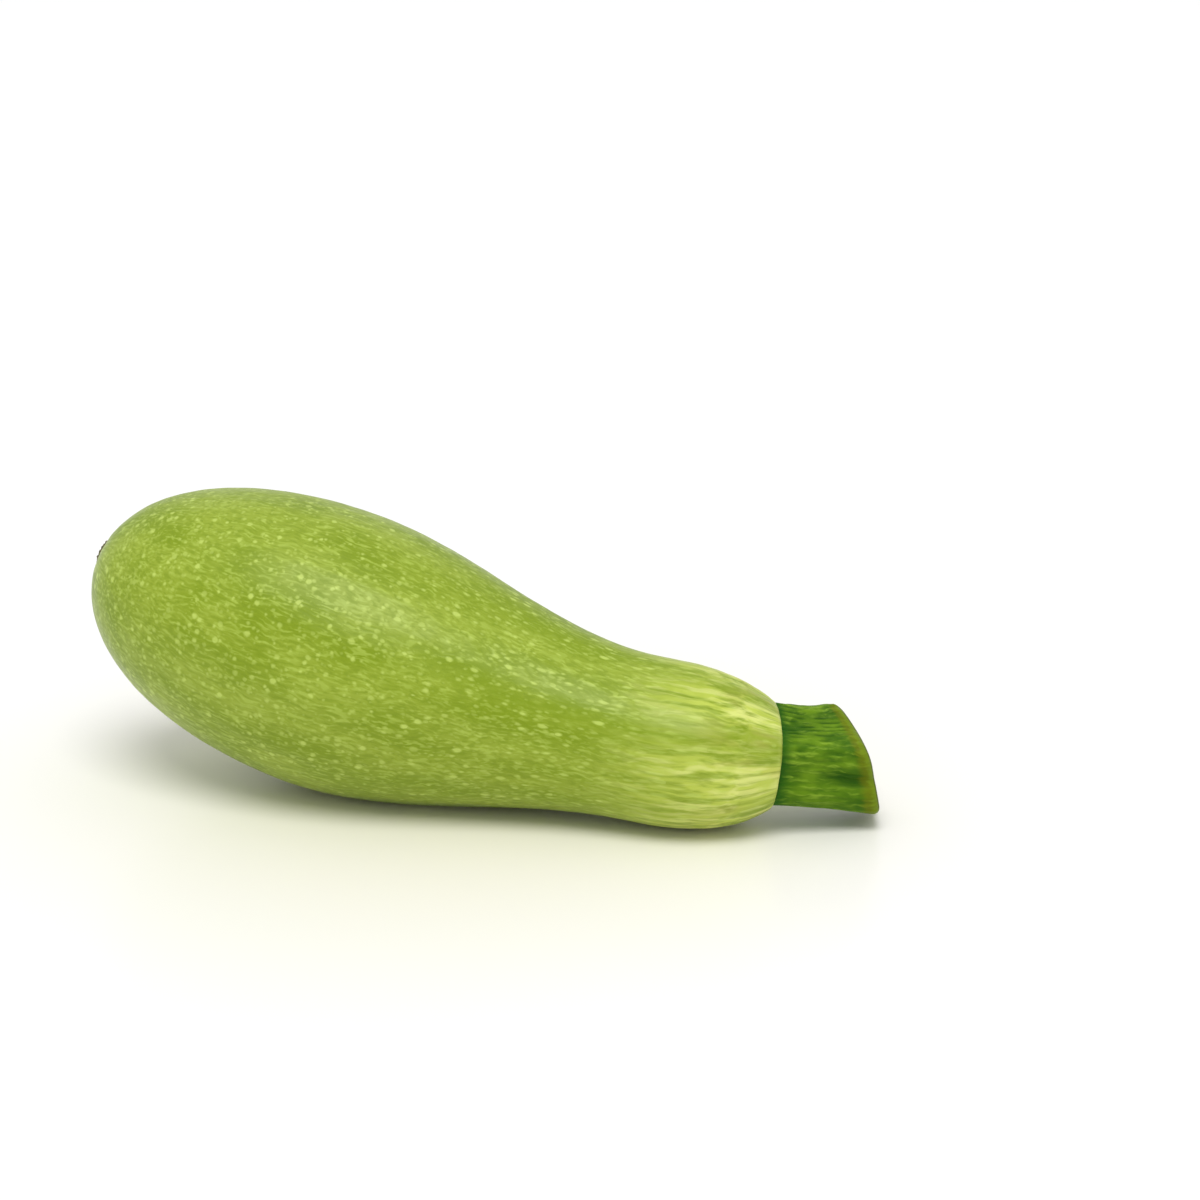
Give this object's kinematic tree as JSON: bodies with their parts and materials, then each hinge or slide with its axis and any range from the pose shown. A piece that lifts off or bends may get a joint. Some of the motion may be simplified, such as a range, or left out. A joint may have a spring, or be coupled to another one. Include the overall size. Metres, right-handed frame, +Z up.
{
  "type": "vegetable marrow",
  "caption": "Young pale green vegetable marrow lying on its side, club-shaped with an upturned blossom end and a ribbed, slant-cut stub of stem.",
  "frame": {"origin": "on the surface it lies on, under the middle of the whole marrow's bounding box", "axes": "+X towards the stem end, -X towards the blossom end, +Z up"},
  "size_m": [0.1992, 0.0688, 0.0727],
  "materials": {
    "fruit_skin": "smooth waxy yellow-green rind with pale flecks and fine lengthwise streaks, softly glossy",
    "peduncle_flesh": "fibrous dark green stem with lighter ribs and a pale moist cut face",
    "scar_cork": "dry grey-brown cork"
  },
  "bodies": {
    "root": {"fruit": "fruit_skin", "peduncle": "peduncle_flesh", "blossom_scar": "scar_cork"}
  },
  "joints": []
}
